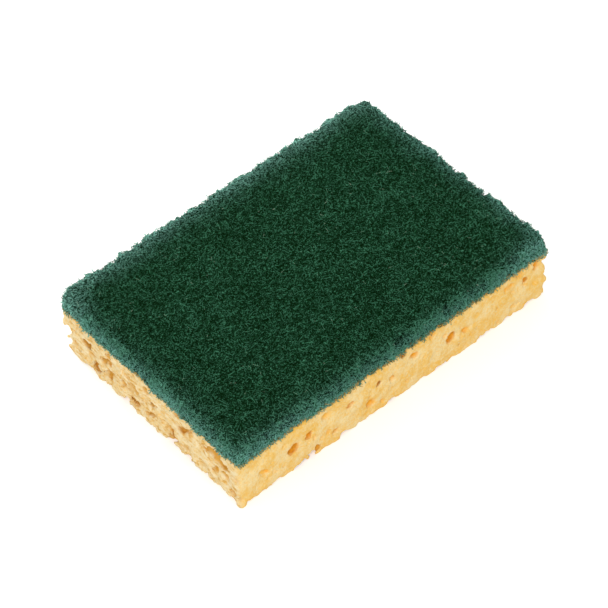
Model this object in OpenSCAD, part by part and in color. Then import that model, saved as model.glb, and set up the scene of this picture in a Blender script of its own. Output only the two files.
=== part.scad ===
// Kitchen cleaning sponge: a porous cellulose block with a scouring pad bonded to its top.
// Millimetres. The origin is at the middle of the underside, +X along the length, +Z up.
// The front face looks along -Y and the left face along -X.

/* [Overall] */
// Length of the sponge and of the pad, along X
body_l = 130; // [100:1:170]
// Width of the sponge and of the pad, along Y
body_w = 88.5; // [70:0.5:115]
// Thickness of the cellulose block
sponge_t = 19.5; // [14:0.5:30]
// Thickness of the scouring pad
pad_t = 8.5; // [5:0.5:12]

/* [Corners] */
// Plan radius of the front left corner, as crisp as it was cut
front_left_r = 0.5; // [0.5:0.5:8]
// Plan radius of the front right corner
front_right_r = 0.5; // [0.5:0.5:8]
// Plan radius of the back right corner, the most worn one
back_right_r = 2.5; // [0.5:0.5:8]
// Plan radius of the back left corner
back_left_r = 1; // [0.5:0.5:8]
// Radius of the pad's crushed top edge
pad_edge_r = 2.25; // [1:0.25:3]

/* [Pores] */
// Size of every pore as a share of its drawn size
pore_scale = 1; // [0.6:0.05:1.2]
// Depth of every pore as a share of its drawn depth
pore_depth_scale = 1; // [0.6:0.05:1.3]
// Distance between pores on the right and the back face
side_pitch = 8.5; // [7.5:0.5:12]
// Distance between pores on the underside
under_pitch = 10.5; // [9:0.5:14]
// Smallest pore on the faces without a drawn layout
pore_min = 2.2; // [1.5:0.1:3]
// Largest pore on the faces without a drawn layout
pore_max = 5.4; // [4:0.1:6]
// Share of the places on those faces that hold a pore
pore_share = 0.72; // [0.3:0.02:0.9]
// Which random arrangement those faces have
pore_seed = 11; // [1:1:99]
// Radius around the middle of the underside that is kept free of pores
rest_clear_r = 9; // [6:0.5:15]

/* [Hidden] */

$fn = 48;
eps = 0.01;

// The corners run anticlockwise from the front left one. Each has a plan radius and the
// direction from it to the inside.
corner_radii = [front_left_r, front_right_r, back_right_r, back_left_r];
inward = [[1, 1], [-1, 1], [-1, -1], [1, -1]];

// The pad's crushed edge needs at least this much more plan radius than its own.
rim_turn_r = 0.25;
pad_radii = [for (r = corner_radii) max(r, pad_edge_r + rim_turn_r)];

// The size of the block for which the pore layouts below were drawn
layout_l = 130;
layout_w = 88.5;
layout_t = 19.5;

// A pore becomes two balls when it is longer than its width by the first factor, and three
// by the second. Each further ball is smaller and shallower, so that the rim isn't even.
two_ball_ratio = 1.1;
three_ball_ratio = 2;
next_ball_r = 0.95;
next_ball_depth = 0.88;

// A scattered pore is up to this much longer than it is wide, and its depth is between
// these shares of its width.
stretch_max = 0.5;
depth_share_min = 0.35;
depth_share_max = 0.8;

// A pore has a place along the face, a height, a long and a short diameter, the tilt of the
// long one, and a depth. The front face counts from the front left corner towards +X.
FRONT_PORES = [
    // [along, height, long, short, tilt, depth]
    [22, 10.2, 5.2, 4.6, 80, 4],
    [28.4, 11.5, 4, 2.6, 80, 2.2],
    [18.4, 14.7, 2.4, 1.5, 0, 0.9],
    [36, 15, 5, 4.2, 20, 1],
    [38.8, 4.9, 3, 2.3, 20, 1.8],
    [31.4, 2.6, 2.6, 2.2, 90, 2.6],
    [45.6, 12, 3.4, 2.1, 30, 1.9],
    [57.4, 13, 3.2, 2.4, 70, 2.6],
    [54, 6.3, 4.2, 3.8, 30, 2.1],
    [62.8, 10.8, 3.6, 2.8, 80, 1.3],
    [68, 18.2, 3.4, 2.6, 80, 2.8],
    [72.4, 14.4, 4.4, 2.8, 150, 1.8],
    [80.4, 17.6, 3.6, 2.8, 0, 1.2],
    [88.2, 10.8, 5, 3.8, 80, 3.4],
    [94.2, 9.3, 4, 2.8, 160, 1.1],
    [91.6, 4.5, 1.8, 1.3, 90, 1.2],
    [108.3, 9.1, 1.9, 1.4, 30, 1.1],
    [113.5, 15, 5, 2.8, 0, 1.3],
    [121, 13.2, 2.9, 2.2, 90, 2.4],
    [125.6, 16.4, 4, 2.4, 80, 1.9],
    [118.2, 17.8, 3.6, 2.6, 0, 1.1],
    [116, 4.2, 4, 3, 0, 0.9],
    [58.6, 3.6, 3, 2, 80, 0.9],
    [9.6, 9.2, 5, 3.4, 140, 0.8]
];

// Pores that cut the bottom edge of the front face into notches
FRONT_NOTCHES = [
    [24.4, 0, 5.6, 3.6, 0, 4],
    [29.4, 0.6, 5, 2.2, 100, 3.4],
    [42.4, 0, 4.6, 4, 0, 2.8],
    [62.4, 0, 4.4, 3.8, 0, 2.4],
    [14.5, 0, 4.6, 2, 0, 1.6],
    [83.5, 0, 6, 2.2, 0, 1.8],
    [104, 0, 5, 2, 0, 1.8],
    [112.6, 0, 3.4, 2, 0, 1.6],
    [122.5, 0, 4.4, 2, 0, 1.6]
];

// The left face counts from the front left corner towards +Y. Its craters are wider and shallower.
LEFT_PORES = [
    [9, 14.8, 8.4, 5.4, 20, 2.4],
    [26, 14.4, 9.6, 3.6, 140, 2],
    [3.2, 4, 4, 2.8, 130, 1.6],
    [33.6, 3.4, 5, 3.8, 160, 3.4],
    [33.6, 7.8, 4.4, 2, 165, 1],
    [43.4, 10.6, 2.7, 2, 110, 2],
    [44.6, 5.8, 6.6, 3.2, 155, 1.4],
    [45.8, 15.6, 4.8, 3.6, 110, 1.3],
    [51.4, 13.6, 3.2, 2.4, 80, 1.6],
    [52, 4.2, 6.4, 2.4, 165, 2],
    [66.6, 12, 6, 3.4, 170, 1.9],
    [64, 16.4, 3.4, 1.8, 150, 1.1],
    [65.4, 7.2, 3.6, 2.4, 170, 1.2],
    [76.8, 12.2, 4.8, 4.2, 20, 3.6],
    [72.4, 3.8, 5, 4.4, 110, 3.2],
    [83, 7.6, 4.4, 2.6, 140, 1.3],
    [12.4, 7, 5, 3, 150, 1.1],
    [6.4, 9.2, 3.2, 2.2, 120, 0.9],
    [57.6, 9.2, 3.6, 2.6, 130, 1]
];

// Pores that cut the bottom edge of the left face into notches
LEFT_NOTCHES = [
    [15.2, 0, 3.8, 2.8, 0, 2.2],
    [25.6, 0.8, 4.6, 3.4, 130, 2],
    [34.2, 0, 5.6, 2.4, 0, 2.2],
    [58.6, 0, 5, 2, 0, 2],
    [80.5, 0, 4.2, 2.2, 0, 2]
];

// Bites out of the upright corners: wedges that point inwards along the diagonal. The slope is
// how steeply a bite falls as it runs anticlockwise around its corner.
CORNER_BITES = [
    // [corner number, height, how tall it is at the edge, depth, slope]
    [0, 14.2, 2.4, 0.8, 0],
    [0, 10.8, 3, 1, 20],
    [1, 15.2, 3.4, 1.8, 48],
    [1, 9, 2.4, 1.1, 48],
    [1, 3.2, 3.6, 0.9, 48],
    [2, 13, 4, 1.6, 0],
    [2, 5.6, 3.4, 1.3, -30],
    [3, 9.1, 4.4, 2, -48],
    [3, 3.9, 2.8, 1.9, -48]
];

// The corner of the outline drawn inset from the sides
function corner_point(i, inset = 0) =
    [-inward[i][0] * (body_l / 2 - inset), -inward[i][1] * (body_w / 2 - inset)];

// The plan of the sponge: a rectangle with a radius of its own at each corner
module outline(radii, inset = 0) {
    difference() {
        square([body_l - 2 * inset, body_w - 2 * inset], center = true);
        for (i = [0:3])
            translate(corner_point(i, inset)) rotate(90 * i) corner_waste(radii[i] - inset);
    }
}

// What a radius takes off a corner: a square less the round
module corner_waste(r) {
    difference() {
        translate([-eps, -eps]) square(r + eps);
        translate([r, r]) circle(r);
    }
}

// Radius of the ball that opens a hole of radius r and reaches depth d into a flat face
function ball_r(r, d) = (r * r + d * d) / (2 * d);

// One pore in a face that lies in the XY plane, with the material below it
module pore(long, short, tilt, depth) {
    count = long > three_ball_ratio * short ? 3 : long > two_ball_ratio * short ? 2 : 1;
    reach = count > 1 ? pore_scale * (long - short) / 2 : 0;
    step = count > 1 ? 2 * reach / (count - 1) : 0;
    rotate(tilt)
        for (i = [0:count - 1]) {
            d = pore_depth_scale * depth * pow(next_ball_depth, i);
            r = ball_r(pore_scale * short / 2, d);
            translate([i * step - reach, 0, r - d]) sphere(r * pow(next_ball_r, i));
        }
}

// A drawn layout on a face, stretched to the face's own length
module pores(layout, stretch) {
    for (p = layout)
        translate([p[0] * stretch, p[1] * sponge_t / layout_t]) pore(p[2], p[3], p[4], p[5]);
}

// Pores scattered over a face that is long by high: one for each place of a grid, moved off it
// at random. A place within clear_r of the face's middle stays empty.
module scattered_pores(long, high, pitch, seed, clear_r = 0) {
    columns = floor(long / pitch);
    rows = floor(high / pitch);
    cell = [long / columns, high / rows];
    for (i = [0:columns - 1], j = [0:rows - 1]) {
        pick = rands(0, 1, 7, 1000 * seed + i * rows + j);
        // The square makes small pores the common ones.
        width = pore_min + (pore_max - pore_min) * pick[0] * pick[0];
        length = width * (1 + stretch_max * pick[1]);
        depth = width * (depth_share_min + (depth_share_max - depth_share_min) * pick[2]);
        slack = [max(0, cell[0] - length), max(0, cell[1] - length)];
        at = [(i + 0.5) * cell[0] + (pick[3] - 0.5) * slack[0],
              (j + 0.5) * cell[1] + (pick[4] - 0.5) * slack[1]];
        if (pick[5] < pore_share && norm(at - [long, high] / 2) > clear_r)
            translate(at) pore(length, width, 180 * pick[6], depth);
    }
}

// One bite with its edge line on the Z axis and its point on +X. It starts as far outside.
module bite(tall, deep) {
    rotate([90, 0, 0]) linear_extrude(4 * (tall + deep), center = true)
        polygon([[deep, 0], [-deep, tall], [-deep, -tall]]);
}

// Bites out of the upright corners
module corner_bites() {
    for (c = CORNER_BITES) {
        at = corner_point(c[0]);
        translate([at[0], at[1], c[1] * sponge_t / layout_t])
            rotate(45 + 90 * c[0]) rotate([c[4], 0, 0]) scale(pore_scale) bite(c[2], c[3]);
    }
}

// The faces of the block, each turned so that its outside is up
module on_front() { translate([-body_l / 2, -body_w / 2]) rotate([90, 0, 0]) children(); }
module on_left() { translate([-body_l / 2, -body_w / 2]) rotate([90, 0, -90]) mirror([1, 0, 0]) children(); }
module on_back() { translate([body_l / 2, body_w / 2]) rotate([90, 0, 180]) children(); }
module on_right() { translate([body_l / 2, -body_w / 2]) rotate([90, 0, 90]) children(); }
module on_under() { translate([-body_l / 2, body_w / 2]) rotate([180, 0, 0]) children(); }

// The cellulose block, open-pored on its four sides and its underside
module sponge_block() {
    color("#f2cb75") difference() {
        linear_extrude(sponge_t) outline(corner_radii);
        on_front() pores(concat(FRONT_PORES, FRONT_NOTCHES), body_l / layout_l);
        on_left() pores(concat(LEFT_PORES, LEFT_NOTCHES), body_w / layout_w);
        on_back() scattered_pores(body_l, sponge_t, side_pitch, pore_seed);
        on_right() scattered_pores(body_w, sponge_t, side_pitch, pore_seed + 1);
        on_under() scattered_pores(body_l, body_w, under_pitch, pore_seed + 2, rest_clear_r);
        corner_bites();
    }
}

// Section of the pad's rim, from its inside face at x = 0 to its outside
module rim_profile() {
    square([pad_edge_r, pad_t - pad_edge_r]);
    translate([0, pad_t - pad_edge_r])
        intersection() {
            circle(pad_edge_r);
            square(pad_edge_r);
        }
}

// The rim along one side, from the corner behind it to the corner ahead
module side_rim(i) {
    ahead = (i + 1) % 4;
    side_l = norm(corner_point(ahead) - corner_point(i));
    translate([pad_radii[i], pad_edge_r]) rotate([90, 0, 90]) mirror([1, 0, 0])
        linear_extrude(side_l - pad_radii[i] - pad_radii[ahead]) rim_profile();
}

// The rim around one corner
module corner_rim(r) {
    translate([r, r]) rotate(180)
        rotate_extrude(angle = 90) translate([r - pad_edge_r, 0]) rim_profile();
}

// The scouring pad, bonded to the block over its whole top: a flat middle inside a rounded rim
module scouring_pad() {
    color("#356e60") translate([0, 0, sponge_t]) {
        linear_extrude(pad_t) outline(pad_radii, pad_edge_r);
        for (i = [0:3])
            translate(corner_point(i)) rotate(90 * i) {
                side_rim(i);
                corner_rim(pad_radii[i]);
            }
    }
}

sponge_block();
scouring_pad();
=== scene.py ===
"""A cleaning sponge: a porous cellulose block with a web of curled fibres bonded to its top."""

import math

import bmesh
import bpy
import numpy as np
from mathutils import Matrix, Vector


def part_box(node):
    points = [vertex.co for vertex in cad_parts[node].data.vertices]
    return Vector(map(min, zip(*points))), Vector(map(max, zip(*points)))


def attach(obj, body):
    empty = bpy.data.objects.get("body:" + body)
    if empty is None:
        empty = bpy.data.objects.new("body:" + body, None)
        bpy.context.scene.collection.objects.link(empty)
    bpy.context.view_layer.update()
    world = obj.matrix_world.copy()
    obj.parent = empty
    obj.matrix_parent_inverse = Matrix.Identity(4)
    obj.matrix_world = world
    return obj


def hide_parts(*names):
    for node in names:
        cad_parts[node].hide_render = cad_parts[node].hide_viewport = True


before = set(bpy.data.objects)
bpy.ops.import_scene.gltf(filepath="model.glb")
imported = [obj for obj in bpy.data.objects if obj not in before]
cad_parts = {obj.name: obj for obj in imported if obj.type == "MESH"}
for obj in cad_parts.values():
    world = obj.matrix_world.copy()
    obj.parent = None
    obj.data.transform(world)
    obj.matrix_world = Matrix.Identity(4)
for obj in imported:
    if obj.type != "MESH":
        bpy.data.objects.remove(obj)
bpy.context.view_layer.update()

import openvdb
from bpy.props import FloatProperty, FloatVectorProperty, IntProperty, PointerProperty
from mathutils import Euler, Matrix, Vector

bl_info = {
    "name": "Cleaning Sponge",
    "version": (1, 0, 0),
    "blender": (4, 5, 0),
    "location": "View3D > Sidebar > Sponge",
    "description": "Makes a cellulose sponge with a curled-fibre scouring pad",
    "category": "Add Mesh",
}

MM = 0.001
BUMP_H = 0.3 * MM
BAKE_MAP = "OFBake"


def size(name, default, description, low=0.0):
    """A length in metres."""
    return FloatProperty(
        name=name, default=default, min=low, precision=5, unit="LENGTH", description=description
    )


def share(name, default, description, high=1.0):
    """A number without a unit, from 0 to high."""
    return FloatProperty(name=name, default=default, min=0.0, max=high, description=description)


def whole(name, default, description):
    """A whole number of things."""
    return IntProperty(name=name, default=default, min=0, description=description)


def angle(name, degrees, description):
    """An angle, given in degrees."""
    return FloatProperty(name=name, default=math.radians(degrees), subtype="ANGLE", description=description)


def colour(name, default, description):
    """A colour in scene linear values."""
    return FloatVectorProperty(
        name=name, default=default, size=3, min=0.0, max=1.0, subtype="COLOR", description=description
    )


class SpongeBlockSettings(bpy.types.PropertyGroup):
    """The cellulose block."""

    voxel: size("Voxel", 0.3 * MM, "Edge of the cells in which the block is carved")
    adaptivity: share("Adaptivity", 0.02, "How far flat stretches are thinned")
    stand_out: size("Stand out", 0.35 * MM, "How far the swollen faces stand outside the plain block")
    wave: size("Wave", 0.25 * MM, "How far the cut faces wander from flat")
    wave_pitch: size("Wave pitch", 5 * MM, "Distance between those swells")
    grain: size("Grain", 0.13 * MM, "Height of the fine grain")
    grain_pitch: size("Grain pitch", 1.0 * MM, "Distance between the grains")
    torn: size("Torn", 0.5 * MM, "Height of the torn streaks on the two end faces")
    shred: size("Shred", 0.25 * MM, "Height of the finer streaks there")
    ragged: size("Ragged", 0.35 * MM, "How uneven the pores' rims and walls are")
    ragged_pitch: size("Ragged pitch", 1.1 * MM, "Distance between those bumps")
    crumble: size("Crumble", 0.7 * MM, "How deep the underside's edges are worn")
    chips: whole("Chips", 150, "Number of small bites out of the edges")
    chip_low: size("Smallest chip", 0.5 * MM, "Radius of the smallest bite")
    chip_high: size("Largest chip", 1.6 * MM, "Radius of the largest bite")
    pits: whole("Pits", 2600, "Number of small open cells")
    pit_low: size("Smallest pit", 0.3 * MM, "Radius of the smallest open cell")
    pit_high: size("Largest pit", 1.1 * MM, "Radius of the largest open cell")
    craters: whole("Craters", 90, "Number of shallow scoops on the end faces")
    most_triangles: whole("Most triangles", 190000, "The carved surface is thinned to this")
    crumb: colour("Crumb", (0.925, 0.585, 0.155), "The cut cellulose")
    pale_crumb: colour("Pale crumb", (0.945, 0.715, 0.33), "Thin cell walls that catch the light")
    end_crumb: colour("End crumb", (0.835, 0.65, 0.34), "The cellulose on the two end faces")
    # Amber of the flecks. It is also painted shade and bounce light deep in the pores, and painted shadow
    # under the pad.
    amber_and_pore_shade: colour("Cell wall", (0.94, 0.48, 0.033), "The skin inside a deep pore")
    end_pale: colour("End pale", (0.93, 0.79, 0.50), "The torn ridges of the end faces")
    # Darker amber with painted shade, for the end faces' craters and the grooves between their torn streaks.
    end_hollow_shade: colour("End hollow", (0.68, 0.34, 0.035), "The skin inside the end faces' craters")


class PadSettings(bpy.types.PropertyGroup):
    """The scouring pad."""

    voxel: size("Voxel", 0.4 * MM, "Edge of the cells in which the mat is carved")
    adaptivity: share("Adaptivity", 0.02, "How far flat stretches are thinned")
    side_inset: size("Side inset", 0.27 * MM, "How far the mat's sides lie inside the plain pad's")
    flare: size("Flare", 0.45 * MM, "How much further the sides stand out where the mat meets the block")
    back_flare: size("Back flare", 0.5 * MM, "How much further the back stands out")
    top_inset: size("Top inset", 0.8 * MM, "How far the mat's top lies under the fibres' outer reach")
    lump: size("Lump", 0.35 * MM, "Height of the mat's lumps")
    lump_pitch: size("Lump pitch", 3 * MM, "Distance between the lumps")
    tuft: size("Tuft", 0.45 * MM, "How far the sides' tufts stand in and out")
    tuft_pitch: size("Tuft pitch", 4.5 * MM, "Distance between the tufts")
    crease: size("Crease", 1.0 * MM, "Height of the narrow ridges across the back edges")
    crease_pitch: size("Crease pitch", 1.1 * MM, "Distance between those ridges")
    fuzz: size("Fuzz", 0.7 * MM, "Height of the finer fuzz on the sides")
    fuzz_pitch: size("Fuzz pitch", 1.5 * MM, "Distance between its bumps")
    most_triangles: whole("Most triangles", 60000, "The mat's surface is thinned to this")
    fibres: whole("Fibres", 7500, "Number of fibres on top")
    rim_fibres: whole("Rim fibres", 9500, "Number of loose fibres around the rim and scattered over the top")
    scallop: size("Scallop", 6.5 * MM, "Strength of the noise that draws the fibres in to a tufted outline")
    scallop_pitch: size("Scallop pitch", 1.3 * MM, "Distance between those tufts")
    fibre_r: size("Fibre radius", 0.085 * MM, "Radius of one fibre")
    rim_fibre_r: size("Rim fibre radius", 0.15 * MM, "Radius of a loose fibre around the rim")
    fibre_l: size("Fibre length", 2.0 * MM, "Length of one fibre between bonds")
    rim_fibre_l: size("Rim fibre length", 1.3 * MM, "Length of a loose fibre around the rim")
    curl: size("Curl", 0.35 * MM, "How far a fibre swings from side to side")
    curl_pitch: size("Curl pitch", 1.0 * MM, "Length of half a swing along a fibre")
    depth: size("Depth", 1.15 * MM, "How far down the light still reaches")
    lit: share("Lit", 0.71, "How pale the outermost fibres are")
    mat_lit: share("Mat lit", 0.98, "How pale the strands on the web's body are", 2.0)
    fleck: share("Fleck", 2.9, "How much the green varies from one short stretch of fibre to the next", 4.0)
    rim: size("Rim", 3.0 * MM, "How far in from the outline the paler band has faded to a third")
    # Painted shade: the darkest green, deep down in the web and between the fibres.
    shaded_deep_green: colour("Deep green", (0.0003, 0.0125, 0.0009), "The web between the fibres")
    fibre_green: colour("Fibre green", (0.0070, 0.056, 0.0180), "A usual fibre")
    pale_green: colour("Pale green", (0.066, 0.235, 0.135), "A fibre without resin")
    # The pale band's colours: paler loose fibres, with painted light from the sides and, at the back, painted
    # light from behind.
    rim_green: colour("Rim green", (0.200, 0.480, 0.395), "The loose fibre ends along the outline")
    rim_pale_and_backlit: colour("Rim pale", (0.300, 0.660, 0.545), "The bleached ones along the back")
    speck: colour("Speck", (0.33, 0.42, 0.30), "A bare spot here and there")
    crumb: colour("Crumb", (0.66, 0.39, 0.10), "Bits of cellulose caught in the lowest fibres")


class StageSettings(bpy.types.PropertyGroup):
    """Camera, floor and light."""

    azimuth: angle("Azimuth", 37.27, "Turn of the view from +Y towards +X")
    elevation: angle("Elevation", 48.56, "How far the camera looks down")
    roll: angle("Roll", -4.40, "Turn of the camera about its own axis")
    distance: size("Distance", 0.879, "From the camera to the point it aims at")
    aim: FloatVectorProperty(name="Aim", default=(-0.0037, -0.0037, 0.014), size=3, subtype="XYZ",
                             description="Point that the camera aims at")
    lens: FloatProperty(name="Lens", default=161.1, min=1.0, description="Focal length in millimetres")
    sky: share("Sky", 0.66, "Strength of the light from all sides", 10.0)
    key: share("Key", 0.9, "Strength of the main lamp", 10.0)
    back: share("Back", 0.6, "Strength of the lamp behind", 10.0)
    floor_colour: colour("Floor", (0.93, 0.93, 0.93), "The table top")


# ---------------------------------------------------------------- nodes


class Wire:
    """An output socket. Python arithmetic on it adds Math nodes."""

    def __init__(self, socket):
        self.socket = socket

    def out(self, name):
        """Another output of the same node."""
        found = [s for s in self.socket.node.outputs if s.name == name and s.enabled]
        return Wire(found[0])

    def maths(self, operation, *others):
        """A Math node on this wire and the others."""
        values = dict(enumerate((self, *others)))
        return add(self.socket.id_data, "ShaderNodeMath", {"operation": operation}, values)

    def __add__(self, other):
        return self.maths("ADD", other)

    __radd__ = __add__

    def __mul__(self, other):
        return self.maths("MULTIPLY", other)

    __rmul__ = __mul__

    def __sub__(self, other):
        return self.maths("SUBTRACT", other)

    def __rsub__(self, other):
        return -self + other

    def __truediv__(self, other):
        return self.maths("DIVIDE", other)

    def __neg__(self):
        return self * -1.0

    def __rtruediv__(self, other):
        return self.maths("POWER", -1.0) * other

    def __pow__(self, other):
        return self.maths("POWER", other)

    def rise(self, low, high):
        """0 below low, 1 above high, smooth between."""
        return add(
            self.socket.id_data,
            "ShaderNodeMapRange",
            {"interpolation_type": "SMOOTHSTEP"},
            {"Value": self, "From Min": low, "From Max": high},
        )


def add(tree, kind, settings=None, inputs=None):
    """Adds a node: its settings, then the values or links of its sockets. Gives its first output."""
    node = tree.nodes.new(kind)
    settings = dict(settings or {})
    stops = settings.pop("stops", None)
    for name, value in settings.items():
        setattr(node, name, value)
    if stops:
        elements = node.color_ramp.elements
        while len(elements) < len(stops):
            elements.new(1.0)
        for element, (position, value) in zip(elements, stops):
            element.position = position
            element.color = value
    for key, value in (inputs or {}).items():
        if isinstance(key, str):
            socket = [s for s in node.inputs if s.name == key and s.enabled][0]
        else:
            socket = node.inputs[key]
        if isinstance(value, Wire):
            tree.links.new(value.socket, socket)
        else:
            socket.default_value = value
    shown = [s for s in node.outputs if s.enabled]
    return Wire(shown[0]) if shown else None


def blend(tree, factor, low, high):
    """The low colour where factor is 0 and the high one where it is 1."""
    low, high = (v if isinstance(v, Wire) else (*v, 1.0) for v in (low, high))
    return add(tree, "ShaderNodeMix", {"data_type": "RGBA"}, {"Factor": factor, "A": low, "B": high})


def vector(tree, operation, a, b=(0, 0, 0)):
    """A Vector Math node on one or two values."""
    kind = {"operation": operation}
    if operation == "SCALE":
        return add(tree, "ShaderNodeVectorMath", kind, {0: a, "Scale": b})
    return add(tree, "ShaderNodeVectorMath", kind, {0: a, 1: b})


def split(tree, value):
    """The X, Y and Z of a vector."""
    first = add(tree, "ShaderNodeSeparateXYZ", None, {"Vector": value})
    return first, first.out("Y"), first.out("Z")


def joined(tree, x=0.0, y=0.0, z=0.0):
    """A vector from its X, Y and Z."""
    return add(tree, "ShaderNodeCombineXYZ", None, {"X": x, "Y": y, "Z": z})


def new_material(name):
    """An empty material and its node tree."""
    material = bpy.data.materials.new(name)
    material.use_nodes = True
    material.node_tree.nodes.clear()
    return material, material.node_tree


def finish_material(tree, constants, varying):
    """The Principled shader: constants on its own sockets and what varies as links."""
    shader = add(tree, "ShaderNodeBsdfPrincipled", None, {**constants, **varying})
    add(tree, "ShaderNodeOutputMaterial", None, {"Surface": shader})


def noise(tree, where, pitch, detail=2.0, roughness=0.5):
    """Noise from 0 to 1 whose swells are about pitch metres apart."""
    sizes = {"Scale": 1.0 / pitch, "Detail": detail, "Roughness": roughness}
    return add(tree, "ShaderNodeTexNoise", None, {"Vector": where, **sizes})


def bump(tree, strength, height):
    """A normal that follows a height."""
    return add(tree, "ShaderNodeBump", None, {"Strength": strength, "Distance": BUMP_H, "Height": height})


def here(tree):
    """The piece's own coordinates, in metres."""
    return add(tree, "ShaderNodeTexCoord").out("Object")


def attribute(tree, name):
    """A value kept on the mesh."""
    return add(tree, "ShaderNodeAttribute", {"attribute_name": name}).out("Fac")


# ---------------------------------------------------------------- carving


def corner_values(mesh, name):
    """The places or the normals of a mesh's corners."""
    values = np.empty(len(mesh.vertices) * 3, np.float32)
    mesh.vertices.foreach_get(name, values)
    return values.reshape(-1, 3)


def merged_points(node_name):
    """The corners and triangles of a CAD node, with its doubles merged, in millimetres."""
    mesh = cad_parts[node_name].data.copy()
    shape = bmesh.new()
    shape.from_mesh(mesh)
    bmesh.ops.remove_doubles(shape, verts=shape.verts, dist=0.001 * MM)
    bmesh.ops.triangulate(shape, faces=shape.faces)
    shape.to_mesh(mesh)
    shape.free()
    corners = corner_values(mesh, "co") / MM
    faces = np.empty(len(mesh.polygons) * 3, np.int32)
    mesh.polygons.foreach_get("vertices", faces)
    bpy.data.meshes.remove(mesh)
    return corners, faces.reshape(-1, 3).astype(np.uint32)


class Carving:
    """A solid as signed distances on a grid, in millimetres: below 0 inside."""

    MARGIN = 6
    BAND = 4.0

    def __init__(self, node_name, voxel):
        corners, faces = merged_points(node_name)
        self.low, self.high = (np.array(corner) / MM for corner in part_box(node_name))
        self.voxel = voxel
        self.transform = openvdb.createLinearTransform(voxel)
        self.corner = np.floor(corners.min(0) / voxel).astype(int) - self.MARGIN
        shape = np.ceil(corners.max(0) / voxel).astype(int) + self.MARGIN + 1 - self.corner
        grid = openvdb.FloatGrid.createLevelSetFromPolygons(
            corners, triangles=faces, transform=self.transform, halfWidth=self.BAND
        )
        self.field = np.empty(tuple(shape), np.float32)
        grid.copyToArray(self.field, ijk=tuple(int(v) for v in self.corner))

    def axes(self, window=None):
        """The grid's places along X, Y and Z, or those of a window of it, ready to combine."""
        window = window or tuple(slice(0, n) for n in self.field.shape)
        return [(place + c) * self.voxel for place, c in zip(np.ogrid[window], self.corner)]

    def from_sides(self):
        """How far the grid's places lie inside the box's two ends, and inside its two long sides."""
        x, y, z = self.axes()
        return self.high[0] - np.abs(x), self.high[1] - np.abs(y)

    def swell(self, pitch, rng):
        """Smooth noise of about -1 to 1. The pitch between its swells may differ from axis to axis."""
        cells = np.broadcast_to(pitch, 3) / self.voxel / 2
        counts = [int(n / c) + 5 for n, c in zip(self.field.shape, cells)]
        field = rng.standard_normal(counts).astype(np.float32)
        for axis, length in enumerate(self.field.shape):
            place = np.arange(length) / cells[axis] + 1
            low = place.astype(int)
            t = (place - low).astype(np.float32)
            shape = [1, 1, 1]
            shape[axis] = length
            # The weights of a cubic B-spline.
            weights = ((1 - t) ** 3, 3 * t**3 - 6 * t**2 + 4, -3 * t**3 + 3 * t**2 + 3 * t + 1, t**3)
            parts = (np.take(field, low + k - 1, axis) * (w / 6).reshape(shape) for k, w in enumerate(weights))
            field = sum(parts)
        return field / field.std() / 2

    def soften(self):
        """Rounds every edge by about one voxel."""
        for axis in range(3):
            before, after = np.roll(self.field, 1, axis), np.roll(self.field, -1, axis)
            self.field = (before + 2 * self.field + after) / 4

    def surface_places(self, number, rng, keep):
        """Random places on the surface where keep says so."""
        on = np.argwhere((np.abs(self.field) < self.voxel / 2) & keep)
        chosen = on[rng.integers(0, len(on), number)]
        return (chosen + self.corner + rng.random((number, 3)) - 0.5) * self.voxel

    def scoop(self, centre, radii):
        """Takes an ellipsoid out."""
        low = np.floor((centre - radii) / self.voxel).astype(int) - self.corner - 1
        high = np.ceil((centre + radii) / self.voxel).astype(int) - self.corner + 2
        low, high = np.clip(low, 0, self.field.shape), np.clip(high, 0, self.field.shape)
        window = tuple(slice(a, b) for a, b in zip(low, high))
        part = self.field[window]
        if part.size:
            squares = sum(((place - m) / r) ** 2 for place, m, r in zip(self.axes(window), centre, radii))
            np.maximum(part, (1 - np.sqrt(squares)) * min(radii), out=part)

    def mesh(self, name, adaptivity, most_triangles):
        """The surface as a Blender mesh in one piece, in metres."""
        grid = openvdb.FloatGrid(float(self.field.max()))
        grid.copyFromArray(self.field, ijk=tuple(int(v) for v in self.corner))
        grid.transform = self.transform
        grid.gridClass = openvdb.GridClass.LEVEL_SET
        corners, triangles, quads = grid.convertToPolygons(isovalue=0.0, adaptivity=adaptivity)
        mesh = bpy.data.meshes.new(name)
        faces = [*triangles[:, ::-1].tolist(), *quads[:, ::-1].tolist()]
        mesh.from_pydata((corners * MM).tolist(), [], faces)
        mesh.validate()
        drop_crumbs(mesh)
        return thinned(mesh, most_triangles)


def spread(field, cells):
    """A field's values averaged over so many cells to each side."""
    for axis in range(3):
        total = np.zeros_like(field)
        for step in range(-cells, cells + 1):
            total += np.roll(field, step, axis)
        field = total / (2 * cells + 1)
    return field


def link(name, data):
    """A new object at the origin that shows a mesh, or is a camera or a lamp."""
    piece = bpy.data.objects.new(name, data)
    bpy.context.scene.collection.objects.link(piece)
    return piece


def evaluated_mesh(holder, name):
    """What an object's modifiers make of its mesh, as a plain mesh. The object goes."""
    holder.update_tag()
    seen = holder.evaluated_get(bpy.context.evaluated_depsgraph_get())
    mesh = bpy.data.meshes.new_from_object(seen)
    mesh.name = name
    bpy.data.objects.remove(holder)
    return mesh


def thinned(mesh, most):
    """The same surface with at most so many triangles."""
    holder = link("holder", mesh)
    modifier = holder.modifiers.new("thin", "DECIMATE")
    triangles = sum(len(face.vertices) - 2 for face in mesh.polygons)
    modifier.ratio = min(1.0, most / triangles)
    return evaluated_mesh(holder, mesh.name)


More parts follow.
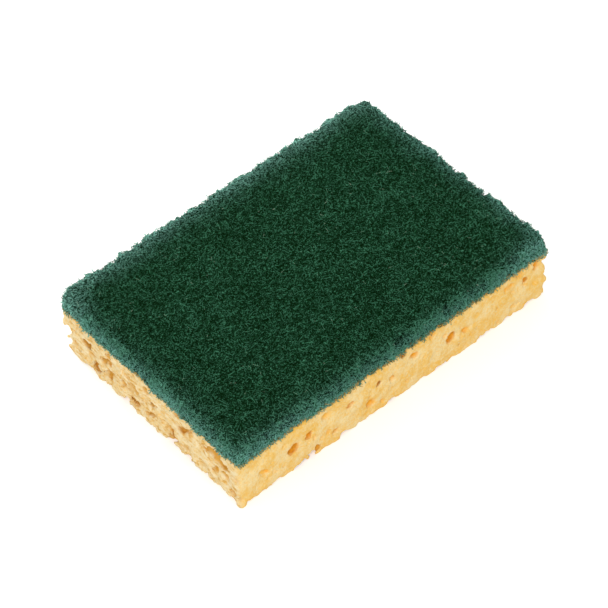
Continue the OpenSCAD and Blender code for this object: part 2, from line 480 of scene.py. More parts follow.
def drop_crumbs(mesh):
    """Deletes every island but the largest, so that nothing floats free."""
    shape = bmesh.new()
    shape.from_mesh(mesh)
    left = set(shape.verts)
    islands = []
    while left:
        island = [left.pop()]
        for vert in island:
            around = {edge.other_vert(vert) for edge in vert.link_edges} & left
            left -= around
            island.extend(around)
        islands.append(island)
    for island in sorted(islands, key=len)[:-1]:
        bmesh.ops.delete(shape, geom=island, context="VERTS")
    shape.to_mesh(mesh)
    shape.free()


def keep_value(mesh, name, values):
    """Keeps one number for each corner of a mesh."""
    mesh.attributes.new(name, "FLOAT", "POINT").data.foreach_set("value", values.astype(np.float32))


# ---------------------------------------------------------------- cellulose block


def block_depth(places, low, high):
    """How far each place lies below the block's nearest cut face, and how much that face is an end."""
    from_end = np.minimum(places[:, 0] - low[0], high[0] - places[:, 0])
    from_side = np.minimum(places[:, 1] - low[1], high[1] - places[:, 1])
    from_under = places[:, 2] - low[2]
    nearest = np.minimum(from_end, np.minimum(from_side, from_under))
    return nearest, np.clip(0.5 + (np.minimum(from_side, from_under) - from_end) / 1.5, 0, 1)


# Each has the signs of its corner's X and Y, its height and its radius in millimetres. A bump
# also has how far it stands out.
CORNER_BUMPS = (
    ((-1, -1), 0.0, 3.0, 1.0),
    ((-1, 1), 13.6, 3.0, 0.6),
    ((1, -1), 6.8, 2.0, 0.5),
    ((1, -1), 17.2, 1.6, 0.5),
)
CORNER_TEARS = (((-1, 1), 9.3, 1.7), ((-1, 1), 3.8, 1.15))
TEAR_INSET = 0.6
TEAR_SLANT = np.array((0.40, 0.53, -0.75))
TEAR_STEPS = np.linspace(-4, 4, 9)
# Distances between the swells along X, Y and Z, in millimetres.
TORN_PITCH = (3.0, 4.5, 1.7)
SHRED_PITCH = (1.6, 2.6, 0.9)
CRUMBLE_PITCH = 2.2
# Other lengths in millimetres.
BOND_H = 0.4
END_DEPTH = 4
END_CORNER = 1.5
PORE_RIM = 0.5
DEEPEST_RELIEF = 0.4
CRUMBLE_REACH = 1.8
CRATER_LOW, CRATER_HIGH = 0.9, 1.9


def add_relief(carving, s, rng):
    """Swells, grain, torn streaks and ragged pores on every face but the bonded one."""
    x, y, z = carving.axes()
    high = carving.high
    from_x, from_y = carving.from_sides()
    free = np.clip((high[2] - BOND_H - z) / 1.0, 0, 1)
    # The end faces, cut across the loaf, are the roughest.
    ends = np.clip((np.abs(x) - high[0] + END_DEPTH) / 2, 0, 1)
    ends = ends * np.clip((high[1] - END_CORNER - np.abs(y)) / 2, 0, 1)
    # The standing edges keep their bites.
    away = np.clip((np.hypot(from_x, from_y) - 1.5) / 3, 0.2, 1)
    # A pore is where the field differs from the plain box's.
    from_face = np.minimum(np.minimum(np.minimum(from_x, from_y), z), high[2] - z)
    pores = spread(np.clip((carving.field + from_face) / PORE_RIM, 0, 1), 3)
    ragged = carving.swell(s.ragged_pitch / MM, rng)
    swell = carving.swell(s.wave_pitch / MM, rng)
    grain = carving.swell(s.grain_pitch / MM, rng)
    torn = carving.swell(TORN_PITCH, rng)
    shreds = carving.swell(SHRED_PITCH, rng)
    relief = (s.wave / MM) * swell * (1 + 0.6 * ends)
    relief += (s.grain / MM) * grain * (1 + ends)
    relief += ends * ((s.torn / MM) * (torn + 0.3) + (s.shred / MM) * shreds)
    relief += (s.ragged / MM) * (ragged + 0.15) * pores
    stand_out = s.stand_out / MM * (1 - 0.6 * pores)
    carving.field += free * (away * np.maximum(relief, -DEEPEST_RELIEF) - stand_out)


def wear_corners(carving):
    """The bumps and the slanted tears of the standing edges."""
    x, y, z = carving.axes()
    high = carving.high
    for (side_x, side_y), height, radius, reach in CORNER_BUMPS:
        apart = np.sqrt((x - side_x * high[0]) ** 2 + (y - side_y * high[1]) ** 2 + (z - height) ** 2)
        carving.field -= reach * np.clip(1 - apart / radius, 0, 1)
    for (side_x, side_y), height, radius in CORNER_TEARS:
        middle = np.array((side_x * (high[0] - TEAR_INSET), side_y * (high[1] - TEAR_INSET), height))
        for step in TEAR_STEPS:
            carving.scoop(middle + step * TEAR_SLANT, np.full(3, radius))


def crumble_edges(carving, s, rng):
    """Wears the underside's edges. Nothing reaches below the table."""
    x, y, z = carving.axes()
    from_side = np.minimum(*carving.from_sides())
    at_edge = np.clip(1 - np.hypot(np.maximum(from_side, 0), z) / CRUMBLE_REACH, 0, 1)
    worn = np.maximum(carving.swell(CRUMBLE_PITCH, rng) + 0.1, 0)
    carving.field += (s.crumble / MM) * at_edge * worn
    np.maximum(carving.field, -z, out=carving.field)


def open_cells(carving, s, rng):
    """Takes out small cells all over, craters in the end faces and chips along the edges."""
    x, y, z = carving.axes()
    low, high = carving.low, carving.high
    below_top = np.broadcast_to(z < high[2] - 0.3, carving.field.shape)
    pit_low, pit_high = s.pit_low / MM, s.pit_high / MM
    for place in carving.surface_places(s.pits, rng, below_top):
        radius = pit_low + (pit_high - pit_low) * rng.random() ** 5
        radii = radius * rng.uniform(0.7, 1.3, 3)
        radii[nearest_axis(place, low, high)] *= rng.uniform(0.35, 0.9)
        carving.scoop(place, radii)
    on_end = below_top & (np.abs(x) > high[0] - 0.6)
    for place in carving.surface_places(s.craters, rng, on_end):
        radius = rng.uniform(CRATER_LOW, CRATER_HIGH)
        carving.scoop(place, radius * np.array([0.45, rng.uniform(0.8, 1.8), rng.uniform(0.5, 1.0)]))
    for place in edge_places(low, high, s.chips, rng):
        radius = s.chip_low / MM + (s.chip_high - s.chip_low) / MM * rng.random() ** 2
        carving.scoop(place, radius * rng.uniform(0.7, 1.3, 3))


def block_mesh(s):
    """The block with its relief, worn edges and open cells. Each corner knows its depth and its face."""
    rng = np.random.default_rng(4)
    carving = Carving("sponge_block", s.voxel / MM)
    carving.soften()
    add_relief(carving, s, rng)
    wear_corners(carving)
    crumble_edges(carving, s, rng)
    open_cells(carving, s, rng)
    mesh = carving.mesh("cellulose_block", s.adaptivity, s.most_triangles)
    depth, end = block_depth(corner_values(mesh, "co") / MM, carving.low, carving.high)
    keep_value(mesh, "depth", depth)
    keep_value(mesh, "end", end)
    return mesh


def edge_places(low, high, number, rng):
    """Random places just outside a box's standing edges and the edges of its underside."""
    span = high - low
    ends, sides = (low[0], high[0]), (low[1], high[1])
    edges = [(np.array((x, y, low[2])), np.array((0, 0, span[2] - 2.5))) for x in ends for y in sides]
    edges += [(np.array((low[0], y, low[2])), np.array((span[0], 0, 0))) for y in sides]
    edges += [(np.array((x, low[1], low[2])), np.array((0, span[1], 0))) for x in ends]
    lengths = np.array([np.abs(way).sum() for start, way in edges])
    # The standing edges are short and the most worn.
    chances = lengths * np.array([3, 3, 3, 3, 1, 1, 1, 1])
    places = []
    for edge in rng.choice(len(edges), number, p=chances / chances.sum()):
        start, way = edges[edge]
        outward = np.sign(start - (low + high) / 2) * (way == 0)
        places.append(start + way * rng.random() + outward * rng.uniform(0.1, 0.6, 3))
    return places


def nearest_axis(place, low, high):
    """Which axis the block's nearest face looks along. The bonded top doesn't count."""
    in_top_half = place[2] > (low[2] + high[2]) / 2
    return int(np.argmin(np.minimum(place - low, high - place) + (0, 0, in_top_half * 99)))


def cellulose(s):
    """Matt, warm yellow cellulose: paler thin walls, amber flecks, amber deep in the pores that is painted
    shade and bounce light, and painted shadow with orange dust just under the pad.
    """
    material, tree = new_material("cellulose")
    where = here(tree)
    depth = attribute(tree, "depth")
    end = attribute(tree, "end")
    patches = noise(tree, where, 6 * MM, 3.0)
    flecks = noise(tree, where, 1.4 * MM, 3.0, 0.6)
    speckle = noise(tree, where, 0.6 * MM, 1.0)
    cells = add(tree, "ShaderNodeTexVoronoi", None, {"Vector": where, "Scale": 1 / (0.75 * MM)})
    streaks = noise(tree, vector(tree, "MULTIPLY", where, (1.0, 0.35, 1.0)), 1.1 * MM, 3.0, 0.6)
    x, y, z = split(tree, where)
    # Just under the pad the block turns amber: painted shadow of the pad's fringe, and orange dust.
    pad_shadow_and_dust = z.rise(17 * MM, 19.5 * MM) * (0.4 - end * 0.25)
    base = s.crumb
    # Each layer covers the ones before it.
    for cover, layer_colour in (
        (patches.rise(0.4, 0.62), s.pale_crumb),
        (end * 0.8, s.end_crumb),
        (flecks.rise(0.5, 0.66) * 0.6, s.pale_crumb),
        (flecks.rise(0.48, 0.3) * 0.4, s.amber_and_pore_shade),
        (speckle.rise(0.52, 0.7) * 0.35, s.end_pale),
        (speckle.rise(0.48, 0.3) * 0.25, s.amber_and_pore_shade),
        (streaks.rise(0.5, 0.62) * end * 0.8, s.end_pale),
        # Darker amber with painted shade in the grooves between the torn streaks.
        (streaks.rise(0.47, 0.34) * end * 0.75, s.end_hollow_shade),
        # Painted shade and bounce light: the pores turn amber with depth.
        (depth.rise(-0.1, 1.6) * (1.0 - end) * 0.95, s.amber_and_pore_shade),
        # Darker amber with painted shade in the end faces' craters.
        (depth.rise(0.0, 1.2) * end * 0.9, s.end_hollow_shade),
        (pad_shadow_and_dust, s.amber_and_pore_shade),
    ):
        base = blend(tree, cover, base, layer_colour)
    height = cells * -0.6 + noise(tree, where, 0.5 * MM, 3.0, 0.6) * 1.2 + streaks * end * 2.0
    matt = {"Roughness": 0.95, "Specular IOR Level": 0.15}
    finish_material(tree, matt, {"Base Color": base, "Normal": bump(tree, 0.7, height)})
    return material


class SPONGE_OT_cellulose_block(bpy.types.Operator):
    """Carve the porous cellulose block"""

    bl_idname = "sponge.cellulose_block"
    bl_label = "Cellulose Block"

    def execute(self, context):
        s = context.scene.sponge_block
        mesh = block_mesh(s)
        mesh.materials.append(cellulose(s))
        mesh.shade_smooth()
        piece = link("cellulose_block", mesh)
        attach(piece, "root")
        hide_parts("sponge_block")
        return {"FINISHED"}


# ---------------------------------------------------------------- scouring pad


PAD_EDGE_R = 2.25 * MM


def inside_distances(tree, where, box):
    """How far a place lies inside the pad's rounded face, and inside its outline, in metres."""
    spans = [b - a for a, b in zip(*box)]
    centred = vector(tree, "SUBTRACT", where, (0, 0, box[0][2]))
    folded = vector(tree, "ABSOLUTE", centred)
    inside = vector(tree, "SUBTRACT", (spans[0] / 2, spans[1] / 2, spans[2]), folded)
    x, y, z = split(tree, inside)
    short = vector(tree, "SUBTRACT", (PAD_EDGE_R,) * 3, inside)
    short = vector(tree, "MAXIMUM", short)
    return PAD_EDGE_R - vector(tree, "LENGTH", short).out("Value"), x.maths("MINIMUM", y)


def box_shares(tree, where, box):
    """X and Y as shares of the box's length and width, from -0.5 to 0.5, and the height above it."""
    x, y, z = split(tree, where)
    return x / (box[1][0] - box[0][0]), y / (box[1][1] - box[0][1]), z - box[0][2]


def pale_rim(tree, where, box, outline, s):
    """How much of the pale band along the outline is left here, and its colour. The band is partly paler loose
    fibres and partly painted light.
    """
    # The band is palest on the left and at the back, where painted light from the left and from behind lies
    # over paler fibres. In front it stays on the upright side, as painted light that the sides catch more than
    # the top.
    x, y, up = box_shares(tree, where, box)
    at_left, at_right = x.rise(0.0, -0.5), x.rise(0.3, 0.5)
    palest = at_left.maths("MAXIMUM", y.rise(0.0, 0.5)).maths("MAXIMUM", at_right) * 0.4 + 0.6
    at_back = y.rise(0.2, 0.5)
    wander = (noise(tree, where, 6 * MM, 2.0) * 2.0 + 0.2) * (1.0 - at_back * 0.3)
    band = (outline.maths("MAXIMUM", 0.0) * wander / -s.rim).maths("EXPONENT")
    kept_on_top = at_back.maths("MAXIMUM", at_right).maths("MAXIMUM", at_left * 0.2)
    band = band * palest * (1.0 - (1.0 - kept_on_top) * up.rise(3 * MM, 8 * MM) * 0.82)
    return band, blend(tree, y.rise(0.3, 0.5), s.rim_green, s.rim_pale_and_backlit)


def with_crumbs(tree, where, box, base, s):
    """The colour with bits of cellulose in the fibres next to the block, most of them along its length."""
    x, y, up = box_shares(tree, where, box)
    along = y.maths("ABSOLUTE").rise(0.4, 0.48) * 0.75 + 0.25
    crumbs = noise(tree, where, 0.6 * MM, 1.0).rise(0.49, 0.54) * up.rise(2.2 * MM, 0.4 * MM) * along
    return blend(tree, crumbs, base, s.crumb)


def web_colour(tree, where, tone, lit, s):
    """Green with painted shade that darkens it down in the web, paler at its face, and a pale band along the
    outline that is partly painted light.
    """
    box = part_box("scouring_pad")
    depth, outline = inside_distances(tree, where, box)
    patches = noise(tree, where, 9 * MM, 2.0)
    flecks = noise(tree, where, 0.45 * MM, 1.0, 0.6)
    # The green darkens with depth below the face: painted shade, laid over each fibre's random tone.
    level = lit - depth / s.depth + (tone - 0.5) * 1.1 + (patches - 0.5) * 0.08 + (flecks - 0.5) * s.fleck
    greens = ((0.0, s.shaded_deep_green), (0.45, s.fibre_green), (1.0, s.pale_green))
    stops = [(position, (*green, 1.0)) for position, green in greens]
    colours = add(tree, "ShaderNodeValToRGB", {"stops": stops}, {"Fac": level})
    # The pale band along the outline: paler loose fibres and painted light.
    band, bleached_and_backlit = pale_rim(tree, where, box, outline, s)
    loose = (tone * 1.3 + (flecks - 0.5) * 5.0 + 0.02).rise(0.1, 0.9)
    base = blend(tree, band * loose, colours, bleached_and_backlit)
    return with_crumbs(tree, where, box, base, s)


def web_material(s, name):
    """The fibres. A few of them have lost their resin."""
    material, tree = new_material(name)
    where = here(tree)
    tone = attribute(tree, "tone")
    base = web_colour(tree, where, tone, s.lit, s)
    spots = tone.rise(0.97, 0.98) * noise(tree, where, 0.6 * MM).rise(0.52, 0.6)
    base = blend(tree, spots * 0.7, base, s.speck)
    finish_material(tree, {"Roughness": 0.6, "Specular IOR Level": 0.02}, {"Base Color": base})
    return material


STRAND_WAYS = ((1, 0.2, 0.1), (0.3, 1, -0.2), (-0.7, 0.7, 0.4), (0.7, 0.5, 0.5), (-0.9, -0.4, 0.5))
STRAND_STRETCH = 0.87
STRAND_PITCH = 0.7 * MM


def mat_material(s):
    """The body of the web, whose crossing fibres are drawn and raised as bump."""
    material, tree = new_material("web_depth")
    where = here(tree)
    strand = 0.0
    for number, way in enumerate(STRAND_WAYS):
        # The noise is stretched along the way that these strands run.
        way = Vector(way).normalized()
        along = vector(tree, "DOT_PRODUCT", where, way).out("Value")
        flat = vector(tree, "SUBTRACT", where, vector(tree, "SCALE", tuple(way), along * STRAND_STRETCH))
        lines = noise(tree, vector(tree, "ADD", flat, (0, 0, number)), STRAND_PITCH, 1.0)
        strand = (lines - 0.5).maths("ABSOLUTE").rise(0.045, 0.0).maths("MAXIMUM", strand)
    base = web_colour(tree, where, strand * 1.35 - 0.5, s.mat_lit, s)
    matt = {"Roughness": 0.8, "Specular IOR Level": 0.03}
    finish_material(tree, matt, {"Base Color": base, "Normal": bump(tree, 0.9, strand)})
    return material


# Lengths in millimetres.
RIDGE_L = 9
SEAM_FLARE_H = 5
BACK_DEPTH = 4
CORNER_REACH = 5
TOP_CORNER_H = 3.5
SIDE_DEPTH = 4
DEEPEST_FUZZ = 0.9


def side_tufts(carving, is_end, s, rng):
    """Tufts, narrow upright ridges and fuzz. The ridges are highest at the back."""
    x, y, z = carving.axes()
    pitch = s.tuft_pitch / MM
    tufts = (s.tuft / MM) * carving.swell((pitch, pitch, 2 * pitch), rng)
    pitch = s.crease_pitch / MM
    creases = is_end * carving.swell((RIDGE_L, pitch, RIDGE_L), rng)
    creases = creases + (1 - is_end) * carving.swell((pitch, RIDGE_L, RIDGE_L), rng)
    at_back = np.clip((x / carving.high[0] + y / carving.high[1]) * 3, -0.5, 1)
    tufts = tufts + (s.crease / MM) * creases * (0.6 + 0.4 * at_back)
    fuzz = (s.fuzz / MM) * carving.swell(s.fuzz_pitch / MM, rng) * (1 - 0.4 * is_end)
    return np.maximum(tufts + fuzz, -DEEPEST_FUZZ)


def side_flare(carving, is_end, s):
    """The sides flare towards the seam, and the back stands out furthest."""
    x, y, z = carving.axes()
    at_seam = np.clip((SEAM_FLARE_H - (z - carving.low[2])) / 3, 0, 1)
    at_back = np.clip((y - carving.high[1] + BACK_DEPTH) / 3, 0, 1)
    return (s.flare / MM) * at_seam * (1.8 - 1.5 * is_end) + (s.back_flare / MM) * at_back


def corner_growth(carving):
    """The front right corner is crisper than the plain pad's and the back right one rounder."""
    x, y, z = carving.axes()
    corner = np.clip((CORNER_REACH - np.hypot(*carving.from_sides())) / 4, 0, 1)
    to_top = np.clip((z - carving.high[2] + TOP_CORNER_H) / 3, 0, 1)
    return corner * (-0.1 - 0.4 * np.sign(y) - 0.2 * np.sign(x * y) - 0.9 * to_top)


def mat_mesh(s):
    """The body of the web: the pad drawn in by the insets, with lumps all over."""
    rng = np.random.default_rng(9)
    carving = Carving("scouring_pad", s.voxel / MM)
    low, high = carving.low, carving.high
    x, y, z = carving.axes()
    from_x, from_y = carving.from_sides()
    is_end = np.clip(0.5 + (from_y - from_x) / 3, 0, 1)
    near_side = np.clip((SIDE_DEPTH - np.minimum(from_x, from_y)) / 3, 0, 1)
    above = np.clip((z - low[2]) / 1.5, 0, 1)
    lumps = carving.swell(s.lump_pitch / MM, rng)
    waves = carving.swell(4 * s.lump_pitch / MM, rng)
    ripple = (s.lump / MM) * (lumps + 0.5 * waves) * above
    tufts = side_tufts(carving, is_end, s, rng) * near_side
    flare = side_flare(carving, is_end, s)
    carving.field += s.side_inset / MM - flare - corner_growth(carving) + 0.5 * ripple + tufts
    np.maximum(carving.field, z - high[2] + s.top_inset / MM + 0.25 * ripple, out=carving.field)
    # The bonded underside stays on the block.
    np.maximum(carving.field, low[2] - z, out=carving.field)
    return carving.mesh("web_body", s.adaptivity, s.most_triangles), low, high


def geometry_tree(name, sizes):
    """An empty Geometry Nodes tree with named number inputs."""
    tree = bpy.data.node_groups.new(name, "GeometryNodeTree")
    tree.interface.new_socket("Geometry", in_out="INPUT", socket_type="NodeSocketGeometry")
    for size_name, default in sizes.items():
        kind = "NodeSocketInt" if isinstance(default, int) else "NodeSocketFloat"
        socket = tree.interface.new_socket(size_name, in_out="INPUT", socket_type=kind)
        socket.default_value = default
    tree.interface.new_socket("Geometry", in_out="OUTPUT", socket_type="NodeSocketGeometry")
    return tree


# How near two fibres start, as a share of their mean distance, and how many more are tried than kept.
CLOSEST = 0.555
SURPLUS = 1.75


class FibreTree:
    """Scatters curled fibres over a surface where its share attribute allows them."""

    def __init__(self, material, sizes):
        self.tree = geometry_tree("curled_fibres", sizes)
        self.given = self.add("NodeGroupInput")
        points, turned = self.scattered()
        fibres = self.moved(self.lines(points, turned), "Offset", self.swing())
        tubes = self.tubes(self.moved(fibres, "Position", self.pressed_in()))
        tubes = self.store(tubes, BAKE_MAP, self.map_place(points), "FLOAT2", "CORNER")
        tubes = self.add("GeometryNodeSetMaterial", None, {"Geometry": tubes, "Material": material})
        tubes = self.add("GeometryNodeRealizeInstances", None, {"Geometry": tubes})
        self.add("NodeGroupOutput", None, {"Geometry": tubes})

    def add(self, kind, settings=None, inputs=None):
        """Adds a node to the tree."""
        return add(self.tree, kind, settings, inputs)

    def size(self, name):
        """One of the tree's inputs."""
        return self.given.out(name)

    def kept(self, name, kind="FLOAT"):
        """A value kept on the geometry."""
        return self.add("GeometryNodeInputNamedAttribute", {"data_type": kind}, {"Name": name})

    def store(self, geometry, name, value, kind="FLOAT", domain="POINT"):
        """Keeps a value on the geometry."""
        return self.add(
            "GeometryNodeStoreNamedAttribute",
            {"data_type": kind, "domain": domain},
            {"Geometry": geometry, "Name": name, "Value": value},
        )

    def moved(self, geometry, how, where):
        """The geometry with its points at other places: Position or Offset says how."""
        return self.add("GeometryNodeSetPosition", None, {"Geometry": geometry, how: where})

    def random(self, low, high, salt):
        """A random number for each point, and another one for each salt."""
        values = {"Min": low, "Max": high, "Seed": self.size("Seed") * 10 + salt}
        return self.add("FunctionNodeRandomValue", {"data_type": "FLOAT"}, values)

    def along(self):
        """How far along its curve a point lies, from 0 to 1."""
        return self.add("GeometryNodeSplineParameter").out("Factor")

    def scattered(self):
        """Numbered points a little over the surface, and which way their fibres lie."""
        density = self.size("Density")
        points = self.add(
            "GeometryNodeDistributePointsOnFaces",
            {"distribute_method": "POISSON"},
            {
                "Mesh": self.given,
                "Distance Min": CLOSEST / density**0.5,
                "Density Max": density * SURPLUS,
                "Density Factor": self.kept("share"),
                "Seed": self.size("Seed"),
            },
        )
        outward, turned = points.out("Normal"), points.out("Rotation")
        lift = self.random(-1.0, 1.0, 2) * self.size("Lift")
        for axis, amount in (((0, 0, 1), self.random(0.0, math.tau, 1)), ((0, 1, 0), lift)):
            turn = self.add("FunctionNodeAxisAngleToRotation", None, {"Axis": axis, "Angle": amount})
            turned = self.add(
                "FunctionNodeRotateRotation",
                {"rotation_space": "LOCAL"},
                {"Rotation": turned, "Rotate By": turn},
            )
        lowest, highest = self.size("Lowest"), self.size("Highest")
        raised = vector(self.tree, "SCALE", outward, lowest + (highest - lowest) * self.random(0.0, 1.0, 3))
        raised = vector(self.tree, "SUBTRACT", raised, joined(self.tree, z=self.size("Drop")))
        points = self.moved(points, "Offset", raised)
        points = self.store(points, "number", self.add("GeometryNodeInputIndex"), "INT")
        return self.store(points, "tone", self.random(0.0, 1.0, 4)), turned

    def lines(self, points, turned):
        """A straight fibre centred on each point."""
        length = self.size("Length")
        line = self.add(
            "GeometryNodeCurvePrimitiveLine",
            {"mode": "DIRECTION"},
            {"Start": (0, 0, 0), "Direction": (1, 0, 0), "Length": length},
        )
        line = self.add("GeometryNodeResampleCurve", None, {"Curve": line, "Count": self.size("Points")})
        line = self.moved(line, "Offset", joined(self.tree, length * -0.5))
        fibres = self.add(
            "GeometryNodeInstanceOnPoints",
            None,
            {"Points": points, "Instance": line, "Rotation": turned, "Scale": self.random(0.6, 1.25, 5)},
        )
        fibres = self.add("GeometryNodeRealizeInstances", None, {"Geometry": fibres})
        return self.store(fibres, "along", self.along())

    def swing(self):
        """How far a point swings to the side, in each fibre in another way."""
        own = self.kept("number", "INT")
        strides = self.along() * self.size("Length") / self.size("Curl Pitch")
        place = joined(self.tree, strides + own * 7.31, own * 1.37, self.size("Seed") * 3.1)
        swing = vector(self.tree, "SUBTRACT", noise(self.tree, place, 1.0, 1.0).out("Color"), (0.5, 0.5, 0.5))
        return vector(self.tree, "SCALE", swing, self.size("Curl") * 4.0)

    def pressed_in(self):
        """The place of a point, drawn back to a little outside the pad's rounded outline."""
        tree = self.tree
        half = joined(tree, self.size("Half Length"), self.size("Half Width"), self.size("Thickness"))
        bottom = joined(tree, z=self.size("Bottom"))
        lowest = joined(tree, -1.0, -1.0, -self.size("Hang"))
        above = vector(tree, "SUBTRACT", self.add("GeometryNodeInputPosition"), bottom)
        above = vector(tree, "MAXIMUM", above, lowest)
        folded = vector(tree, "ABSOLUTE", above)
        side = vector(tree, "DIVIDE", above, folded)
        core = vector(tree, "MINIMUM", folded, vector(tree, "SUBTRACT", half, (PAD_EDGE_R,) * 3))
        out = vector(tree, "SUBTRACT", folded, core)
        x, y, z = split(tree, out)
        # The front right corner is the crispest one and the back right the roundest.
        side_x, side_y, _ = split(tree, side)
        crisp = side_y * (side_x * -0.055 - 0.2) - 0.2 - z / PAD_EDGE_R * 0.25
        around = vector(tree, "MULTIPLY", vector(tree, "MULTIPLY", core, side), (1.0, 1.0, 0.25))
        scallop = noise(tree, around, self.size("Scallop Pitch"), 1.0, 0.6)
        spread_out = (self.kept("tone") - 0.5) * self.size("Spread")
        limit = x.maths("MINIMUM", y) * crisp + PAD_EDGE_R + self.size("Reach") + spread_out
        limit = limit + (scallop - 0.5) * self.size("Scallop")
        length = vector(tree, "LENGTH", out).out("Value")
        kept = vector(tree, "SCALE", out, limit / length.maths("MAXIMUM", limit))
        return vector(tree, "ADD", vector(tree, "MULTIPLY", vector(tree, "ADD", core, kept), side), bottom)

    def tubes(self, fibres):
        """The fibres with a three-sided body and closed ends."""
        shape = {"Resolution": 3, "Radius": self.size("Radius")}
        ring = self.add("GeometryNodeCurvePrimitiveCircle", {"mode": "RADIUS"}, shape)
        ring = self.store(ring, "around", self.along())
        parts = {"Curve": fibres, "Profile Curve": ring, "Fill Caps": True}
        return self.add("GeometryNodeCurveToMesh", None, parts)

    def map_place(self, points):
        """A place in the bake's map, where each fibre has a small rectangle of its own."""
        sizes = self.add("GeometryNodeAttributeDomainSize", {"component": "POINTCLOUD"}, {"Geometry": points})
        cells = sizes.maths("SQRT").maths("CEIL")
        number = self.kept("number", "INT")
        across = (number.maths("MODULO", cells) + 0.1 + 0.8 * self.kept("along")) / cells
        up = ((number / cells).maths("FLOOR") + 0.2 + 0.6 * self.kept("around")) / cells
        return joined(self.tree, across, up)


def grown_fibres(name, base, tree, sizes):
    """What the tree makes of a base mesh, as a plain mesh object."""
    holder = link(name + "_base", base)
    modifier = holder.modifiers.new("fibres", "NODES")
    modifier.node_group = tree
    for item in tree.interface.items_tree:
        if item.in_out == "INPUT" and item.name in sizes:
            modifier[item.identifier] = sizes[item.name]
    mesh = evaluated_mesh(holder, name)
    for spare in ("number", "along", "around", "share"):
        if spare in mesh.attributes:
            mesh.attributes.remove(mesh.attributes[spare])
    return link(name, mesh)


class SPONGE_OT_scouring_pad(bpy.types.Operator):
    """Make the scouring pad: the body of the web and its curled fibres"""

    bl_idname = "sponge.scouring_pad"
    bl_label = "Scouring Pad"

    def execute(self, context):
        s = context.scene.sponge_pad
        mesh, low, high = mat_mesh(s)
        mesh.materials.append(mat_material(s))
        mesh.shade_smooth()
        body = link("web_body", mesh)
        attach(body, "root")
        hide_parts("scouring_pad")

        places, normals = corner_values(mesh, "co") / MM, corner_values(mesh, "normal")
        on_top = np.clip((normals[:, 2] - 0.4) * 3, 0, 1)
        on_side = np.clip(1 - np.abs(normals[:, 2]), 0, 1) * (places[:, 2] > low[2] + 0.1)
        everywhere = on_side + 0.04 * on_top
        shared = {
            "Points": 2,
            "Curl": s.curl,
            "Curl Pitch": s.curl_pitch,
            "Half Length": (high[0] - low[0]) / 2 * MM,
            "Half Width": (high[1] - low[1]) / 2 * MM,
            "Thickness": (high[2] - low[2]) * MM,
            "Bottom": low[2] * MM,
            "Scallop": s.scallop,
            "Scallop Pitch": s.scallop_pitch,
        }
        # The short fibres lie flat on top. The loose ones stand out all around and hang over the seam.
        names = ("Length", "Radius", "Lowest", "Highest", "Lift", "Drop", "Reach", "Spread", "Hang")
        short = (s.fibre_l, s.fibre_r, 0.0, 0.7 * MM, 0.4, 0.0, 0.5 * MM, 0.6 * MM, -0.1 * MM)
        loose = (s.rim_fibre_l, s.rim_fibre_r, -0.2 * MM, 0.6 * MM, 1.5, 0.2 * MM, 1.3 * MM, 1.4 * MM, MM)
        layers = (("web_top", on_top, s.fibres, short), ("web_rim", everywhere, s.rim_fibres, loose))
        for seed, (name, where, fibres, own) in enumerate(layers, 1):
            base = mesh.copy()
            keep_value(base, "share", where)
            density = fibres / weighted_area(base, where)
            sizes = {"Density": density, "Seed": seed, **shared, **dict(zip(names, own))}
            tree = FibreTree(web_material(s, name), sizes).tree
            piece = grown_fibres(name, base, tree, sizes)
            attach(piece, "root")
        return {"FINISHED"}


def weighted_area(mesh, weights):
    """The mesh's area in square metres, each face counted by its corners' mean weight."""
    return sum(p.area * float(weights[list(p.vertices)].mean()) for p in mesh.polygons)


# ---------------------------------------------------------------- stage


FLOOR_REACH = 3.0


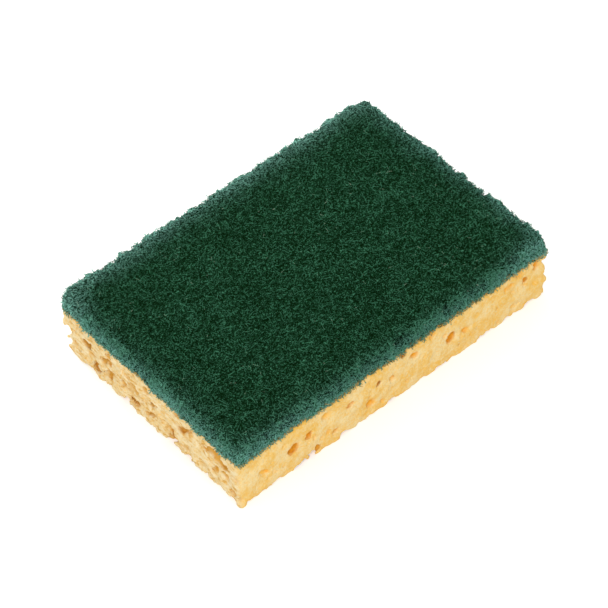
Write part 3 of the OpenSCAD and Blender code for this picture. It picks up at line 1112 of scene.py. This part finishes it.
class SPONGE_OT_stage(bpy.types.Operator):
    """Add the camera, the table top and the light"""

    bl_idname = "sponge.stage"
    bl_label = "Stage"

    def execute(self, context):
        s = context.scene.sponge_stage
        scene = context.scene
        scene.view_settings.view_transform = "Standard"

        camera_data = bpy.data.cameras.new("camera")
        camera_data.lens = s.lens
        camera_data.clip_start = 0.01
        camera = link("camera", camera_data)
        turn = Euler((math.pi / 2 - s.elevation, 0.0, -s.azimuth)).to_matrix()
        turn = turn @ Matrix.Rotation(s.roll, 3, "Z")
        camera.matrix_world = Matrix.LocRotScale(
            Vector(s.aim) + turn @ Vector((0, 0, s.distance)), turn.to_quaternion(), None
        )
        scene.camera = camera

        floor_mesh = bpy.data.meshes.new("floor")
        corners = [(x * FLOOR_REACH, y * FLOOR_REACH, 0) for x, y in ((-1, -1), (1, -1), (1, 1), (-1, 1))]
        floor_mesh.from_pydata(corners, [], [(0, 1, 2, 3)])
        floor = link("floor", floor_mesh)
        floor_mesh.materials.append(self.floor_material(s))

        self.light_world(scene, s)
        self.add_lamp("key", s.key, (-0.7, -0.7, 1.2))
        self.add_lamp("back", s.back, (0.1, 1.0, 0.8))
        return {"FINISHED"}

    @staticmethod
    def add_lamp(name, strength, place):
        """A round soft lamp that looks at the sponge."""
        lamp = bpy.data.lights.new(name, "AREA")
        lamp.shape = "DISK"
        lamp.size = 0.5
        lamp.energy = strength * 10
        holder = link(name, lamp)
        place = Vector(place)
        holder.matrix_world = Matrix.LocRotScale(place, (-place).to_track_quat("-Z", "Y"), None)

    @staticmethod
    def floor_material(s):
        """A white table top that the camera sees as paper white outside the shadow."""
        material, tree = new_material("table_top")
        seen = add(tree, "ShaderNodeLightPath").out("Is Camera Ray")
        top = add(tree, "ShaderNodeBsdfDiffuse", None, {"Color": (*s.floor_colour, 1.0)})
        glow = add(tree, "ShaderNodeEmission", None, {"Color": (1, 1, 1, 1), "Strength": 0.25})
        lifted = add(tree, "ShaderNodeAddShader", None, {0: top, 1: glow})
        surface = add(tree, "ShaderNodeMixShader", None, {0: seen, 1: top, 2: lifted})
        add(tree, "ShaderNodeOutputMaterial", None, {"Surface": surface})
        return material

    @staticmethod
    def light_world(scene, s):
        """Even light from all sides, and white where the camera looks past the table."""
        world = bpy.data.worlds.new("tent")
        world.use_nodes = True
        tree = world.node_tree
        tree.nodes.clear()
        path = add(tree, "ShaderNodeLightPath")
        seen = path.out("Is Camera Ray")
        for ray in ("Is Glossy Ray", "Is Transmission Ray"):
            seen = seen.maths("MAXIMUM", path.out(ray))
        strength = seen * (1.0 - s.sky) + s.sky
        light = add(tree, "ShaderNodeBackground", None, {"Color": (1, 1, 1, 1), "Strength": strength})
        add(tree, "ShaderNodeOutputWorld", None, {"Surface": light})
        scene.world = world


class SPONGE_PT_panel(bpy.types.Panel):
    """The sponge's settings and steps"""

    bl_label = "Sponge"
    bl_space_type = "VIEW_3D"
    bl_region_type = "UI"
    bl_category = "Sponge"

    def draw(self, context):
        scene = context.scene
        steps = (
            ("sponge_block", "sponge.cellulose_block"),
            ("sponge_pad", "sponge.scouring_pad"),
            ("sponge_stage", "sponge.stage"),
        )
        for group_name, operator in steps:
            box = self.layout.box()
            group = getattr(scene, group_name)
            for name in group.bl_rna.properties.keys():
                if name not in ("rna_type", "name"):
                    box.prop(group, name)
            box.operator(operator)


GROUPS = {
    "sponge_block": SpongeBlockSettings,
    "sponge_pad": PadSettings,
    "sponge_stage": StageSettings,
}
CLASSES = (
    *GROUPS.values(),
    SPONGE_OT_cellulose_block,
    SPONGE_OT_scouring_pad,
    SPONGE_OT_stage,
    SPONGE_PT_panel,
)


def register():
    for cls in CLASSES:
        bpy.utils.register_class(cls)
    for name, group in GROUPS.items():
        setattr(bpy.types.Scene, name, PointerProperty(type=group))


def unregister():
    for name in GROUPS:
        delattr(bpy.types.Scene, name)
    for cls in reversed(CLASSES):
        bpy.utils.unregister_class(cls)


def main():
    register()
    bpy.ops.sponge.stage()
    bpy.ops.sponge.cellulose_block()
    bpy.ops.sponge.scouring_pad()


if __name__ == "__main__":
    main()
